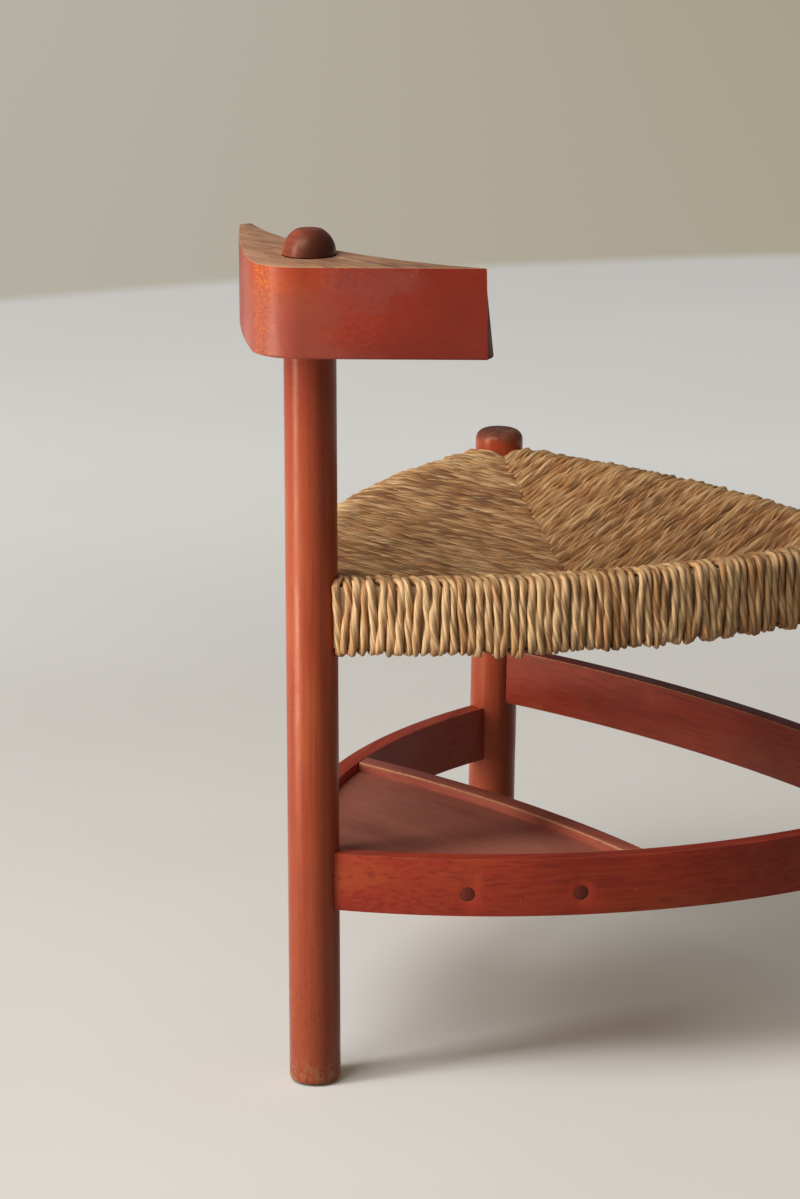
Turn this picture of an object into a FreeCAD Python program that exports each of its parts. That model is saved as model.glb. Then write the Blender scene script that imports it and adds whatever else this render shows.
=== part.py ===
import FreeCAD, Part
import math
import os

# Corner chair with one tall leg, two short legs, bowed rails and stretchers and a woven rush seat.
# The tall leg stands at +Y, the open front edge of the seat is at -Y and the sitter's left is +X.
# The origin is on the floor, in the middle of the chair's bounding box.

Vector = FreeCAD.Vector
UP = Vector(0, 0, 1)

# Legs
leg_diameter = 42.0
front_leg_spacing = 465.0
leg_depth_spacing = 402.0
front_leg_height = 452.6
front_leg_splay = 1.6
splay_height = 210.0
foot_round = 5.5
foot_cut = 0.6
round_facets = 3
front_leg_top_round = 9.0

# Stretchers, which tie the legs near the floor
side_stretcher_bottom = 150.0
side_stretcher_height = 48.0
side_stretcher_bow = 58.0
front_stretcher_bottom = 203.0
front_stretcher_height = 50.0
front_stretcher_bow = 22.0
stretcher_thickness = 15.0

# Seat rails, hidden in the rush
seat_rail_height = 50.0
seat_rail_thickness = 15.0
seat_rail_drop = 46.1
seat_fall = 12.5
side_seat_rail_bow = 54.0
front_seat_rail_bow = 26.0

# Tenons of every rail and stretcher
tenon_depth = 13.0
tenon_thickness = 10.0
tenon_shoulder = 5.0
joint_clearance = 0.15

# Woven rush
rush_cord = 6.5
rush_top_round = 9.0
rush_bottom_round = 7.5
rush_clearance = 0.3
rush_leg_reach = 17.0
seam_gap = 0.4
weave_drift = 27.0
dish_drop = 47.5
dish_thickness = 17.0
corner_build_up = 1.5
seam_sag = 0.38
rush_stations = 12
stuffing_stations = 6
stuffing_end_margin = 42.0

# Backrest
backrest_bottom = 613.2
backrest_height = 72.5
backrest_overhang = 50.0
backrest_nose_radius = 84.0
backrest_wing_angle = 45.0
backrest_half_length = 144.0
backrest_front_reach = 31.0
backrest_hollow_radius = 352.0
backrest_face_slant = 7.0
backrest_end_slant = 3.5
backrest_corner_round = 4.5

# Knob, whose spigot passes through the backrest into the tall leg
spigot_diameter = 22.0
spigot_depth = 35.0
spigot_clearance = 0.15
knob_radius = 21.4
knob_height = 20.6
knob_centre_height = 1.5
knob_facets = 4

# Shelf between the side stretchers
shelf_thickness = 9.0
shelf_recess = 8.0
shelf_depth = 199.5
shelf_clearance = 0.3
lip_width = 17.0
lip_radius = 1100.0
cleat_height = 21.0
cleat_thickness = 14.0
cleat_start = 95.0
cleat_end = 262.0

# Pegs through the side stretchers, which hold the cleats
peg_diameter = 12.0
peg_rear_position = 119.0
peg_front_position = 208.6
peg_height = 168.5
peg_depth_in_cleat = 9.0
peg_clearance = 0.1

# Sizes worked out from the ones above
leg_radius = leg_diameter / 2
rush_front_face = front_seat_rail_bow + seat_rail_thickness / 2 + rush_cord
rear_leg_y = (leg_depth_spacing + rush_front_face - backrest_overhang) / 2
front_leg_y = rear_leg_y - leg_depth_spacing
seat_rail_front_centre = front_leg_height - seat_rail_drop
seat_rail_rear_centre = seat_rail_front_centre - seat_fall
dish_top_height = seat_rail_front_centre + seat_rail_height / 2 + rush_cord - dish_drop
dish_bottom_height = dish_top_height - dish_thickness
backrest_top = backrest_bottom + backrest_height
shelf_top = side_stretcher_bottom + side_stretcher_height - shelf_recess
shelf_bottom = shelf_top - shelf_thickness
lip_top = side_stretcher_bottom + side_stretcher_height
cutter_size = 4 * (leg_depth_spacing + front_leg_spacing)


class Leg:
    """The axis of a round leg, which may lean sideways."""

    def __init__(self, x, y, lean):
        self.middle = Vector(x, y, splay_height)
        self.direction = Vector(math.sin(math.radians(lean)), 0, math.cos(math.radians(lean)))

    def point(self, height):
        """The axis point at this height above the floor."""
        travel = (height - self.middle.z) / self.direction.z
        return self.middle + self.direction * travel

    def plan(self, height):
        """The axis point at this height, dropped to the floor plane."""
        axis_point = self.point(height)
        return Vector(axis_point.x, axis_point.y, 0)

    def cylinder(self, radius, bottom, top):
        """A round bar along the axis between two heights."""
        base = self.point(bottom)
        length = (self.point(top) - base).Length
        return Part.makeCylinder(radius, length, base, self.direction)

    def envelope(self, radius):
        """A bar along the axis that is longer than the leg, used as a cutter."""
        return self.cylinder(radius, -leg_diameter, front_leg_height + leg_diameter)


rear = Leg(0, rear_leg_y, 0)
left = Leg(front_leg_spacing / 2, front_leg_y, -front_leg_splay)
right = Leg(-front_leg_spacing / 2, front_leg_y, front_leg_splay)
chair_middle = Vector(0, rear_leg_y - leg_depth_spacing * 2 / 3, 0)


class Bow:
    """A level arc between two leg axes that swells outward from the middle of the chair."""

    def __init__(self, first_leg, last_leg, first_height, last_height, bow):
        self.legs = (first_leg, last_leg)
        self.start = first_leg.plan(first_height)
        chord = last_leg.plan(last_height) - self.start
        self.length = chord.Length
        self.first_height = first_height
        self.last_height = last_height
        self.along = chord / self.length
        side = self.along.cross(UP)
        outward_sign = math.copysign(1, side.dot(self.start - chair_middle))
        self.outward = side * outward_sign
        self.swell = bow
        self.radius = (self.length ** 2 / 4 + bow ** 2) / (2 * bow)

    def height(self, distance):
        """The height of the board's centre line, this far along the chord."""
        share = distance / self.length
        return self.first_height + (self.last_height - self.first_height) * share

    def swelling(self, distance, offset=0.0):
        """How far the arc, moved outward by the offset, stands out from the chord."""
        from_middle = distance - self.length / 2
        arc_radius = self.radius + offset
        return math.sqrt(arc_radius ** 2 - from_middle ** 2) - self.radius + self.swell

    def place(self, distance, outward, height):
        """A point given along the chord, outward of it and above the floor."""
        return self.start + self.along * distance + self.outward * outward + UP * height

    def square_to(self, distance):
        """The level direction that leaves the arc at right angles, outward."""
        from_middle = distance - self.length / 2
        lengthwise = from_middle / self.radius
        crosswise = math.sqrt(1 - lengthwise ** 2)
        return self.along * lengthwise + self.outward * crosswise

    def strip(self, inner, outer, bottom, height, first=0.0, last=None):
        """A curved strip between two offsets from the arc."""
        if last is None:
            last = self.length
        middle = (first + last) / 2
        inner_points = [self.place(d, self.swelling(d, inner), bottom) for d in (first, middle, last)]
        outer_points = [self.place(d, self.swelling(d, outer), bottom) for d in (last, middle, first)]
        edges = [
            Part.Arc(*inner_points).toShape(),
            Part.LineSegment(inner_points[2], outer_points[0]).toShape(),
            Part.Arc(*outer_points).toShape(),
            Part.LineSegment(outer_points[2], inner_points[0]).toShape(),
        ]
        face = Part.Face(Part.Wire(edges))
        return face.extrude(UP * height)

    def tilted(self, shape):
        """Raise the far end of a level shape, so that it follows the sloping centre line."""
        rise = self.last_height - self.first_height
        slope = math.degrees(math.asin(rise / self.length))
        pivot = self.start + UP * self.first_height
        shape.rotate(pivot, self.along.cross(UP), slope)
        return shape


side_stretcher_centre = side_stretcher_bottom + side_stretcher_height / 2
front_stretcher_centre = front_stretcher_bottom + front_stretcher_height / 2


def side_stretcher_bow_to(leg):
    return Bow(rear, leg, side_stretcher_centre, side_stretcher_centre, side_stretcher_bow)


def side_seat_rail_bow_to(leg):
    return Bow(rear, leg, seat_rail_rear_centre, seat_rail_front_centre, side_seat_rail_bow)


stretcher_bows = {
    "side_stretcher_left": side_stretcher_bow_to(left),
    "side_stretcher_right": side_stretcher_bow_to(right),
    "front_stretcher": Bow(left, right, front_stretcher_centre, front_stretcher_centre,
                           front_stretcher_bow),
}
seat_rail_bows = {
    "side_seat_rail_left": side_seat_rail_bow_to(left),
    "side_seat_rail_right": side_seat_rail_bow_to(right),
    "front_seat_rail": Bow(left, right, seat_rail_front_centre, seat_rail_front_centre,
                           front_seat_rail_bow),
}
board_sizes = {
    "side_stretcher_left": (side_stretcher_height, stretcher_thickness),
    "side_stretcher_right": (side_stretcher_height, stretcher_thickness),
    "front_stretcher": (front_stretcher_height, stretcher_thickness),
    "side_seat_rail_left": (seat_rail_height, seat_rail_thickness),
    "side_seat_rail_right": (seat_rail_height, seat_rail_thickness),
    "front_seat_rail": (seat_rail_height, seat_rail_thickness),
}
board_bows = {**stretcher_bows, **seat_rail_bows}


def quarter(out, height, radius, first_angle):
    """Points along a quarter turn, as pairs of outward distance and height."""
    points = []
    for index in range(round_facets + 1):
        angle = first_angle + index * math.pi / 2 / round_facets
        points.append((out + radius * math.cos(angle), height + radius * math.sin(angle)))
    return points


def turned(profile):
    """A lathe-turned solid on the vertical through the origin, from pairs of radius and height."""
    points = [Vector(radius, 0, height) for radius, height in profile]
    outline = Part.makePolygon([*points, points[0]])
    return Part.Face(outline).revolve(Vector(0, 0, 0), UP, 360)


def curved_bar(bow, height, thickness):
    """A bar along the whole arc, from leg axis to leg axis."""
    half = thickness / 2
    bottom = bow.first_height - height / 2
    return bow.tilted(bow.strip(-half, half, bottom, height))


def tenon_bar(name, clearance):
    """The thin bar whose two ends are the tenons, or with a clearance the mortises."""
    bow = board_bows[name]
    height, thickness = board_sizes[name]
    tenon_height = height - 2 * tenon_shoulder + 2 * clearance
    bar = curved_bar(bow, tenon_height, tenon_thickness + 2 * clearance)
    core_radius = leg_radius - tenon_depth - clearance
    for leg in bow.legs:
        bar = bar.cut(leg.envelope(core_radius))
    return bar


def board(name):
    """A bowed board with its ends scribed to the legs and a tenon at each end."""
    bow = board_bows[name]
    height, thickness = board_sizes[name]
    body = curved_bar(bow, height, thickness)
    for leg in bow.legs:
        body = body.cut(leg.envelope(leg_radius + joint_clearance))
    return body.fuse(tenon_bar(name, 0.0)).removeSplitter()


def cut_mortises(shape, leg):
    """Cut a mortise for every board that ends in this leg."""
    for name, bow in board_bows.items():
        if leg in bow.legs:
            shape = shape.cut(tenon_bar(name, joint_clearance))
    return shape


def turned_leg(leg, bottom, top, top_round):
    """A round post along the leg's axis, with its foot and, if asked, its top rounded."""
    base = leg.point(bottom)
    length = (leg.point(top) - base).Length
    profile = [(0, 0)]
    profile += quarter(leg_radius - foot_round, foot_round, foot_round, -math.pi / 2)
    if top_round:
        profile += quarter(leg_radius - top_round, length - top_round, top_round, 0.0)
    else:
        profile.append((leg_radius, length))
    profile.append((0, length))
    post = turned(profile)
    post.Placement = FreeCAD.Placement(base, FreeCAD.Rotation(UP, leg.direction))
    return post


def spigot_bore():
    """The hole for the knob's spigot, in the backrest and the top of the tall leg."""
    bore_radius = spigot_diameter / 2 + spigot_clearance
    bore_bottom = backrest_bottom - spigot_depth - spigot_clearance
    return rear.cylinder(bore_radius, bore_bottom, backrest_top + knob_height)


def rear_leg():
    """The tall leg, whose flat top carries the backrest and is bored for the knob's spigot."""
    post = turned_leg(rear, 0, backrest_bottom, None)
    return cut_mortises(post.cut(spigot_bore()), rear)


def front_leg(leg):
    """A short leg, turned square to its leaning axis and then cut level at the floor."""
    post = turned_leg(leg, -foot_cut, front_leg_height, front_leg_top_round)
    floor = Part.makeBox(cutter_size, cutter_size, leg_diameter,
                         Vector(-cutter_size / 2, -cutter_size / 2, -leg_diameter))
    return cut_mortises(post.cut(floor), leg)


def backrest_elevation():
    """The backrest seen from the front: longer at the bottom, with its lower corners rounded."""
    slant = math.radians(backrest_end_slant)
    front_y = -cutter_size / 2
    top_end = Vector(backrest_half_length, front_y, backrest_top)
    corner = Vector(backrest_half_length + backrest_height * math.tan(slant), front_y, backrest_bottom)
    up_the_end = Vector(-math.sin(slant), 0, math.cos(slant))
    setback = backrest_corner_round / math.tan((math.pi / 2 - slant) / 2)
    arc_start = corner - Vector(setback, 0, 0)
    arc_end = corner + up_the_end * setback
    arc_centre = arc_start + UP * backrest_corner_round
    arc_middle = arc_centre + (corner - arc_centre).normalize() * backrest_corner_round

    def mirrored(point):
        return Vector(-point.x, point.y, point.z)

    outline = Part.Wire([
        Part.LineSegment(mirrored(arc_start), arc_start).toShape(),
        Part.Arc(arc_start, arc_middle, arc_end).toShape(),
        Part.LineSegment(arc_end, top_end).toShape(),
        Part.LineSegment(top_end, mirrored(top_end)).toShape(),
        Part.LineSegment(mirrored(top_end), mirrored(arc_end)).toShape(),
        Part.Arc(mirrored(arc_end), mirrored(arc_middle), mirrored(arc_start)).toShape(),
    ])
    return Part.Face(outline).extrude(Vector(0, cutter_size, 0))


def backrest():
    """A wing-shaped block: rounded nose, straight wings, a leaning hollow face and slanted ends."""
    wing = math.radians(backrest_wing_angle)
    nose_y = rear_leg_y + backrest_overhang
    nose_centre_y = nose_y - backrest_nose_radius
    tangent_x = backrest_nose_radius * math.sin(wing)
    tangent_y = nose_centre_y + backrest_nose_radius * math.cos(wing)
    reach_x = backrest_half_length + backrest_height
    reach_y = tangent_y - (reach_x - tangent_x) * math.tan(wing)
    right_tangent = Vector(-tangent_x, tangent_y, backrest_bottom)
    left_tangent = Vector(tangent_x, tangent_y, backrest_bottom)
    nose = Vector(0, nose_y, backrest_bottom)
    right_reach = Vector(-reach_x, reach_y, backrest_bottom)
    left_reach = Vector(reach_x, reach_y, backrest_bottom)
    outline = Part.Wire([
        Part.LineSegment(right_reach, right_tangent).toShape(),
        Part.Arc(right_tangent, nose, left_tangent).toShape(),
        Part.LineSegment(left_tangent, left_reach).toShape(),
        Part.LineSegment(left_reach, right_reach).toShape(),
    ])
    block = Part.Face(outline).extrude(UP * backrest_height)

    # The hollow front face is part of a large cylinder whose axis leans with the face.
    slant = math.radians(backrest_face_slant)
    lean = Vector(0, math.sin(slant), math.cos(slant))
    face_top_y = rear_leg_y - backrest_front_reach
    axis_point = Vector(0, face_top_y - backrest_hollow_radius / math.cos(slant), backrest_top)
    hollow_length = 4 * backrest_height
    hollow = Part.makeCylinder(backrest_hollow_radius, hollow_length,
                               axis_point - lean * (hollow_length / 2), lean)
    block = block.cut(hollow)

    return block.common(backrest_elevation()).cut(spigot_bore())


def knob():
    """The turned knob: a ball flattened on top and at the base, in one piece with its spigot."""
    spigot_bottom = -backrest_height - spigot_depth
    lowest = math.asin(-knob_centre_height / knob_radius)
    highest = math.asin((knob_height - knob_centre_height) / knob_radius)
    profile = [(0, spigot_bottom), (spigot_diameter / 2, spigot_bottom), (spigot_diameter / 2, 0)]
    for index in range(knob_facets + 1):
        angle = lowest + (highest - lowest) * index / knob_facets
        profile.append((knob_radius * math.cos(angle),
                        knob_centre_height + knob_radius * math.sin(angle)))
    profile.append((0, knob_height))
    finial = turned(profile)
    finial.translate(rear.plan(0) + UP * backrest_top)
    return finial


def round_column(centre, radius, bottom, height):
    return Part.makeCylinder(radius, height, Vector(centre.x, centre.y, bottom))


def inside_stretchers(bottom, height):
    """The space between the side stretchers' inner faces, less the tall leg."""
    space = None
    for name in ("side_stretcher_left", "side_stretcher_right"):
        bow = stretcher_bows[name]
        inner_offset = -stretcher_thickness / 2 - shelf_clearance
        arc_centre = bow.place(bow.length / 2, bow.swell - bow.radius, 0)
        column = round_column(arc_centre, bow.radius + inner_offset, bottom, height)
        space = column if space is None else space.common(column)
    return space.cut(rear.envelope(leg_radius + shelf_clearance))


lip_arc_centre = Vector(0, rear_leg_y - shelf_depth + lip_radius, 0)


def shelf_panel():
    """The three-cornered panel behind the lip."""
    panel = inside_stretchers(shelf_bottom, shelf_thickness)
    front = round_column(lip_arc_centre, lip_radius - shelf_clearance, shelf_bottom, shelf_thickness)
    return panel.common(front)


def shelf_lip():
    """The bowed bar along the open edge of the shelf, level with the stretchers' tops."""
    lip_height = lip_top - shelf_bottom
    outer = round_column(lip_arc_centre, lip_radius + lip_width, shelf_bottom, lip_height)
    inner = round_column(lip_arc_centre, lip_radius, shelf_bottom, lip_height)
    return inside_stretchers(shelf_bottom, lip_height).common(outer.cut(inner))


def peg_axes(bow):
    """For each peg, the point on the stretcher's outer face and the inward direction."""
    axes = []
    for position in (peg_rear_position, peg_front_position):
        on_arc = bow.place(position, bow.swelling(position), peg_height)
        outward = bow.square_to(position)
        axes.append((on_arc + outward * (stretcher_thickness / 2), outward * -1))
    return axes


def peg(entry, inward, clearance):
    """A peg that starts outside the stretcher's face, or with a clearance the hole for it."""
    start = entry - inward * stretcher_thickness
    length = 2 * stretcher_thickness + peg_depth_in_cleat + clearance
    return Part.makeCylinder(peg_diameter / 2 + clearance, length, start, inward)


def drilled(shape, bow):
    """Cut the peg holes along this stretcher."""
    for entry, inward in peg_axes(bow):
        shape = shape.cut(peg(entry, inward, peg_clearance))
    return shape


def cleat(bow):
    """The batten on the inner face of a side stretcher that carries the shelf."""
    outer = -stretcher_thickness / 2 - joint_clearance
    strip = bow.strip(outer - cleat_thickness, outer, shelf_bottom - cleat_height, cleat_height,
                      cleat_start, cleat_end)
    return drilled(strip, bow)


def pegs(bow):
    """The pegs of one stretcher, each shaped to its bowed outer face."""
    blank = bow.strip(-stretcher_thickness / 2 - cleat_thickness, stretcher_thickness / 2,
                      side_stretcher_bottom, side_stretcher_height)
    return Part.makeCompound([peg(entry, inward, 0.0).common(blank) for entry, inward in peg_axes(bow)])


def weave_centre():
    """Where the three seams of the rush meet, drifted toward the right rail as it was woven."""
    corners = [leg.plan(seat_rail_front_centre) for leg in (rear, left, right)]
    sides = [
        (corners[1] - corners[2]).Length,
        (corners[2] - corners[0]).Length,
        (corners[0] - corners[1]).Length,
    ]
    centre = Vector(0, 0, 0)
    for corner, opposite in zip(corners, sides):
        centre = centre + corner * (opposite / sum(sides))
    return centre + seat_rail_bows["side_seat_rail_right"].outward * weave_drift


seams_meet = weave_centre()


def skin(sections):
    """Flat three-cornered faces between each outline and the next."""
    faces = []
    for here, following in zip(sections, sections[1:]):
        for index, corner in enumerate(here):
            after = (index + 1) % len(here)
            for triangle in ((corner, here[after], following[index]),
                             (here[after], following[after], following[index])):
                faces.append(Part.Face(Part.makePolygon([*triangle, triangle[0]])))
    return faces


def faceted_solid(outer, inner=None):
    """A solid through the outer outlines, hollow through the inner ones if they are given."""
    faces = skin(outer)
    if inner:
        faces += skin(inner)
    for end in (0, -1):
        wires = [Part.makePolygon([*outer[end], outer[end][0]])]
        if inner:
            wires.append(Part.makePolygon([*inner[end], inner[end][0]]))
        faces.append(Part.Face(wires, "Part::FaceMakerBullseye"))
    shell = Part.makeShell(faces)
    shell.sewShape()
    solid = Part.makeSolid(shell)
    if solid.Volume < 0:
        solid.reverse()
    return solid


class RushPanel:
    """One third of the woven seat: cords wrapped round a rail and drawn in to the seams."""

    def __init__(self, bow):
        self.bow = bow
        self.meet_distance = (seams_meet - bow.start).dot(bow.along)
        self.meet_depth = -(seams_meet - bow.start).dot(bow.outward)

    def share(self, distance):
        """Nought where the seams meet and one at the leg."""
        if distance < self.meet_distance:
            return 1 - distance / self.meet_distance
        return (distance - self.meet_distance) / (self.bow.length - self.meet_distance)

    def corner_height(self, distance, side):
        """The height of the wrapped rail at the leg on this side of the meeting point."""
        at_end = 0 if distance < self.meet_distance else self.bow.length
        return self.bow.height(at_end) + side * (seat_rail_height / 2 + rush_cord)

    def seam_height(self, distance, side):
        """The height of the top (side 1) or underside (side -1) along the seam."""
        share = self.share(distance)
        eased = share * (1 - seam_sag) + share * share * seam_sag
        lowest = dish_top_height if side > 0 else dish_bottom_height
        corner = self.corner_height(distance, side)
        if side > 0:
            corner = corner + corner_build_up
        return lowest + (corner - lowest) * eased

    def seam_reach(self, distance):
        """How far the cords run inward of the chord before they meet the seam."""
        return self.meet_depth * (1 - self.share(distance)) - seam_gap / 2

    def roll_outline(self, distance):
        """Points round the outside of the rush, with a rounded roll over the rail."""
        centre = self.bow.height(distance)
        half_height = seat_rail_height / 2 + rush_cord
        face = self.bow.swelling(distance) + seat_rail_thickness / 2 + rush_cord
        back = self.bow.swelling(distance) - seat_rail_thickness / 2
        seam = -self.seam_reach(distance)
        points = quarter(face - rush_bottom_round, centre - half_height + rush_bottom_round,
                         rush_bottom_round, -math.pi / 2)
        points += quarter(face - rush_top_round, centre + half_height - rush_top_round,
                          rush_top_round, 0.0)
        points.append((back, centre + half_height))
        points.append((seam, self.seam_height(distance, 1)))
        points.append((seam, self.seam_height(distance, -1)))
        points.append((back, centre - half_height))
        return points

    def core_outline(self, distance, gap, with_rail):
        """Points round the space inside the rush: the stuffing, and the rail too if it is asked for."""
        centre = self.bow.height(distance)
        half_height = seat_rail_height / 2 + rush_clearance - gap
        back = self.bow.swelling(distance) - seat_rail_thickness / 2 - rush_clearance - gap
        face = self.bow.swelling(distance) + seat_rail_thickness / 2 + rush_clearance
        seam = -self.seam_reach(distance) + rush_cord + gap
        points = []
        if with_rail:
            points.append((face, centre - half_height))
            points.append((face, centre + half_height))
        points.append((back, centre + half_height))
        points.append((seam, self.seam_height(distance, 1) - rush_cord - gap))
        points.append((seam, self.seam_height(distance, -1) + rush_cord + gap))
        points.append((back, centre - half_height))
        return points

    def in_space(self, distance, outline):
        return [self.bow.place(distance, out, height) for out, height in outline]

    def stations(self, margin, count):
        """Distances along the chord, with one where the seams meet."""
        before = round(count * self.meet_distance / self.bow.length)
        after = count - before
        first_step = (self.meet_distance - margin) / before
        last_step = (self.bow.length - margin - self.meet_distance) / after
        rising = [margin + first_step * index for index in range(before)]
        falling = [self.meet_distance + last_step * index for index in range(after + 1)]
        return rising + falling

    def solid(self):
        """The cords wrapped over the rail, under it and back, hollow for the rail and stuffing."""
        outer = []
        inner = []
        for distance in self.stations(rush_leg_reach, rush_stations):
            outer.append(self.in_space(distance, self.roll_outline(distance)))
            inner.append(self.in_space(distance, self.core_outline(distance, 0.0, True)))
        roll = faceted_solid(outer, inner)
        for leg in self.bow.legs:
            roll = roll.cut(leg.envelope(leg_radius + rush_clearance))
        return roll

    def stuffing(self):
        """The offcuts between the top and the underside, behind the rail."""
        sections = []
        for distance in self.stations(stuffing_end_margin, stuffing_stations):
            outline = self.core_outline(distance, rush_clearance, False)
            sections.append(self.in_space(distance, outline))
        return faceted_solid(sections)


rush_panels = {
    "rush_left": RushPanel(seat_rail_bows["side_seat_rail_left"]),
    "rush_right": RushPanel(seat_rail_bows["side_seat_rail_right"]),
    "rush_front": RushPanel(seat_rail_bows["front_seat_rail"]),
}


def build_nodes():
    """Every piece of the chair under its node name."""
    nodes = {
        "rear_leg": rear_leg(),
        "front_leg_left": front_leg(left),
        "front_leg_right": front_leg(right),
        "backrest": backrest(),
        "knob": knob(),
        "shelf_panel": shelf_panel(),
        "shelf_lip": shelf_lip(),
    }
    for name in board_bows:
        nodes[name] = board(name)
    for side in ("left", "right"):
        bow = stretcher_bows[f"side_stretcher_{side}"]
        nodes[f"side_stretcher_{side}"] = drilled(nodes[f"side_stretcher_{side}"], bow)
        nodes[f"shelf_cleat_{side}"] = cleat(bow)
        nodes[f"cleat_pegs_{side}"] = pegs(bow)
    for name, panel in rush_panels.items():
        nodes[name] = panel.solid()
    nodes["rush_stuffing"] = Part.makeCompound([panel.stuffing() for panel in rush_panels.values()])
    return nodes


def main():
    os.makedirs("parts", exist_ok=True)
    for name, shape in build_nodes().items():
        shape.exportStep(f"parts/{name}.step")
        print(name, "solids", len(shape.Solids), "volume", round(shape.Volume), "valid", shape.isValid())


main()
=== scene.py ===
"""Dress the corner chair: finish its stained wood, weave its rush seat and set up the studio."""
import math
import random

import bmesh
import bpy
from bpy.props import FloatProperty, FloatVectorProperty, IntProperty, PointerProperty
from mathutils import Matrix, Vector, noise


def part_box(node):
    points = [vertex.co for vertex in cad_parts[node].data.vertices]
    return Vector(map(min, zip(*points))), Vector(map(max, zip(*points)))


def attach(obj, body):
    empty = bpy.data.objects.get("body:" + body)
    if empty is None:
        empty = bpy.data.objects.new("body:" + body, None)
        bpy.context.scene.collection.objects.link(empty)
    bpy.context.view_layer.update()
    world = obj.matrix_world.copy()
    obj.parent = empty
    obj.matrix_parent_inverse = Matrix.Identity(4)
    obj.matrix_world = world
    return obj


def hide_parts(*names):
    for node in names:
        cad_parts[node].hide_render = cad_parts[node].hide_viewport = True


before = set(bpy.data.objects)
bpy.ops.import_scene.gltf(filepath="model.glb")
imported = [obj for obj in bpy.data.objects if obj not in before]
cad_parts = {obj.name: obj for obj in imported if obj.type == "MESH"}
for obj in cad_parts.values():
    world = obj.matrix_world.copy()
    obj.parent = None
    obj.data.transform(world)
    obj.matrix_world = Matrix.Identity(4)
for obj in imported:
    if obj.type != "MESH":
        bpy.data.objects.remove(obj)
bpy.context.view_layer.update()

bl_info = {
    "name": "Corner Chair Finish",
    "version": (1, 0, 0),
    "blender": (4, 5, 0),
    "location": "3D View > Sidebar > Chair",
    "description": "Stained beech, woven rush and studio for a three-legged corner chair",
    "category": "Object",
}

ROOT = "root"
UP = Vector((0, 0, 1))
JOIN_DISTANCE = 1e-6
PEG_REACH = 0.009
SHARP_ANGLE = math.radians(38)
ARRIS_ANGLE = math.radians(40)
FLAT_ANGLE = math.radians(0.4)


# Measures taken from the CAD nodes

def box_middle(node):
    low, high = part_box(node)
    return (low + high) / 2


def box_size(node):
    low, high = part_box(node)
    return high - low


def node_points(node):
    return [vertex.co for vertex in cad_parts[node].data.vertices]


LEG_RADIUS = box_size("rear_leg").y / 2
REAR_LEG_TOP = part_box("rear_leg")[1].z
FRONT_LEG_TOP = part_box("front_leg_left")[1].z


class LegAxis:
    """The axis of a round leg, which may lean sideways."""

    def __init__(self, node, lean):
        self.middle = box_middle(node)
        self.lean = lean

    def at(self, height):
        travel = height - self.middle.z
        return Vector((self.middle.x + travel * math.tan(self.lean), self.middle.y, height))

    def direction(self):
        return Vector((math.sin(self.lean), 0, math.cos(self.lean)))


# Sizes and colours that a user would change

def amount(name, description, default, **kind):
    return FloatProperty(name=name, description=description, default=default, **kind)


def length(name, description, default):
    return amount(name, description, default, unit="LENGTH")


def angle(name, description, default):
    return amount(name, description, default, subtype="ANGLE")


def share(name, description, default):
    return amount(name, description, default, subtype="FACTOR")


def position(name, description, default):
    return FloatVectorProperty(name=name, description=description, default=default,
                               subtype="TRANSLATION", size=len(default))


def colour(name, description, default):
    return FloatVectorProperty(name=name, description=description, default=default,
                               subtype="COLOR", size=3)


class WoodSettings(bpy.types.PropertyGroup):
    """Sizes and stains of the wooden pieces."""

    splay: angle("Front leg splay", "Sideways lean of the short legs", math.radians(1.6))
    board_round: length("Board arris", "Rounding along the stretchers and the shelf lip", 0.0016)
    backrest_round: length("Backrest arris", "Rounding along the backrest's edges", 0.0017)
    nose_radius: length("Nose", "Radius of the backrest's nose", 0.042)
    near_wing_end: position(
        "Right wing end", "Outer corner of the right wing, from the rear leg", (-0.1384, -0.0637))
    near_wing_turn: angle(
        "Right wing turn", "Turn of the right wing's outer face from the X axis",
        math.radians(47.2))
    near_wing_length: length("Right wing length", "Straight length of the right wing", 0.1447)
    far_wing_turn: angle(
        "Left wing turn", "Turn of the left wing's outer face at the nose", math.radians(30.7))
    far_wing_length: length(
        "Left wing length", "Length of the left wing along its outer face", 0.170)
    far_wing_bow: angle(
        "Left wing bow", "How far the left wing turns from nose to end", math.radians(10.4))
    hollow_radius: length("Hollow", "Radius of the backrest's hollow front at its top", 0.330)
    hollow_lean: length(
        "Hollow lean", "How much further forward the hollow is at its foot", 0.0089)
    leg_top_round: length("Leg top round", "Rounding of the short legs' tops", 0.009)
    foot_round: length("Foot round", "Rounding of the feet", 0.0055)
    peg_ring: length("Peg ring", "Dark, chamfered rim of a peg", 0.0007)
    # The bright stain also paints light on the knob's left side.
    bright_stain_and_light: colour(
        "Bright stain", "Stain where the wood took little of it", (0.40, 0.068, 0.022))
    red_stain: colour("Red stain", "The usual red of the stain", (0.35, 0.036, 0.019))
    deep_stain: colour("Deep stain", "Stain where the wood took most of it", (0.20, 0.021, 0.013))
    thin_stain: colour(
        "Thin stain", "Orange wood under stain that has worn thin", (0.52, 0.145, 0.042))
    worn_wood: colour(
        "Worn wood", "Wood that shows where the stain is rubbed away", (0.50, 0.27, 0.135))
    dark_stain: colour(
        "Dark stain", "End grain of the knob, the leg tops and the pegs", (0.105, 0.026, 0.015))
    # The grime also paints shade on the knob's right side.
    grime_and_shade: colour("Grime", "Old dirt in rings, creases and on the feet", (0.030, 0.014, 0.010))


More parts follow.
